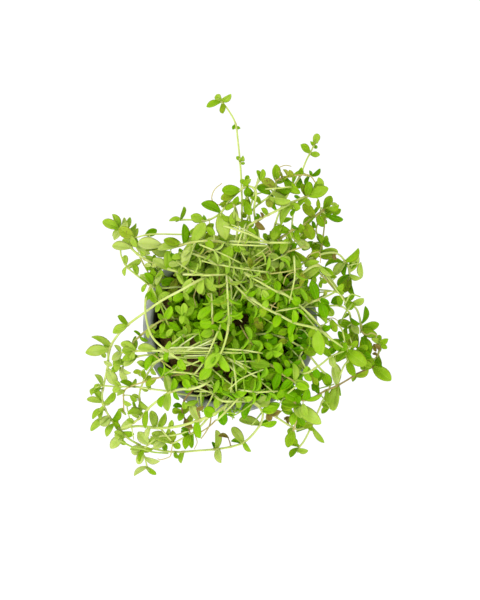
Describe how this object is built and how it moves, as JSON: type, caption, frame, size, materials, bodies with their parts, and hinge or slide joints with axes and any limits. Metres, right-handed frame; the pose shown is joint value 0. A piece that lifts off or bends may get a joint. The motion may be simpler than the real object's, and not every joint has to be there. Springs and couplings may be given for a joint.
{
  "type": "potted pearlweed",
  "caption": "A small aquarium plant in a round slotted pot: a plug of growing wool with long thin stems in pairs of oval leaves that rise over the rim and trail out all round.",
  "frame": {"origin": "centre of the pot's base, on the surface that it stands on", "axes": "+Z up along the pot's axis; +X is to the right and +Y is up as the plant is seen from straight above, with the longest shoot towards +Y"},
  "size_m": [0.0912, 0.1141, 0.0656],
  "materials": {
    "grey_plastic": "grey moulded plastic, lightly worn, with a soft sheen on the rolled lip",
    "growing_wool": "damp dark brown mineral wool, fibrous and crumbly",
    "leaf_green": "fresh soft leaf and stem, satin, from pale yellow-green to deep green",
    "straw_stem": "old straw-brown stem and root, dry and dull"
  },
  "bodies": {
    "root": {"growing_wool": "growing_wool", "inner_big_leaf_shoot": "leaf_green", "inner_diagonal_shoot": "leaf_green", "inner_east_shoot": "leaf_green", "inner_node_west": "leaf_green", "inner_north_shoot": "leaf_green", "inner_old_shoot": "straw_stem", "inner_olive_shoot": "leaf_green", "inner_rosette_east": "leaf_green", "inner_rosette_west": "leaf_green", "inner_round_shoot": "leaf_green", "inner_south_shoot": "leaf_green", "inner_southeast_shoot": "leaf_green", "inner_southwest_shoot": "leaf_green", "inner_star_shoot": "leaf_green", "inner_vertical_shoot": "leaf_green", "inner_west_shoot": "leaf_green", "pot": "grey_plastic", "shoot_east_a": "leaf_green", "shoot_east_b": "leaf_green", "shoot_east_b_inner": "leaf_green", "shoot_east_brown": "straw_stem", "shoot_east_leafy": "leaf_green", "shoot_east_rosette": "leaf_green", "shoot_north_bud": "leaf_green", "shoot_north_green": "leaf_green", "shoot_north_tall": "leaf_green", "shoot_northeast_long": "leaf_green", "shoot_northeast_mid": "leaf_green", "shoot_northeast_up": "leaf_green", "shoot_northeast_upper": "leaf_green", "shoot_northwest_bright": "leaf_green", "shoot_northwest_cluster": "leaf_green", "shoot_northwest_mid": "leaf_green", "shoot_northwest_thin": "leaf_green", "shoot_south_hook": "leaf_green", "shoot_south_red_node": "leaf_green", "shoot_south_southeast": "leaf_green", "shoot_south_straw": "straw_stem", "shoot_south_tail": "leaf_green", "shoot_southeast_brown": "straw_stem", "shoot_southeast_cross": "leaf_green", "shoot_southeast_main_1": "leaf_green", "shoot_southeast_main_2": "leaf_green", "shoot_southeast_star": "leaf_green", "shoot_southwest_low": "leaf_green", "shoot_southwest_main": "leaf_green", "shoot_southwest_thick": "leaf_green", "shoot_southwest_tip": "leaf_green", "shoot_southwest_withered": "straw_stem", "shoot_west_arc": "leaf_green", "shoot_west_bundle_1": "leaf_green", "shoot_west_bundle_2": "leaf_green", "shoot_west_bundle_3": "leaf_green", "shoot_west_bundle_4": "leaf_green", "shoot_west_hoop": "leaf_green", "shoot_west_horizontal": "leaf_green", "shoot_west_low": "leaf_green", "shoot_west_straw": "straw_stem", "shoot_west_top": "leaf_green"}
  },
  "joints": []
}
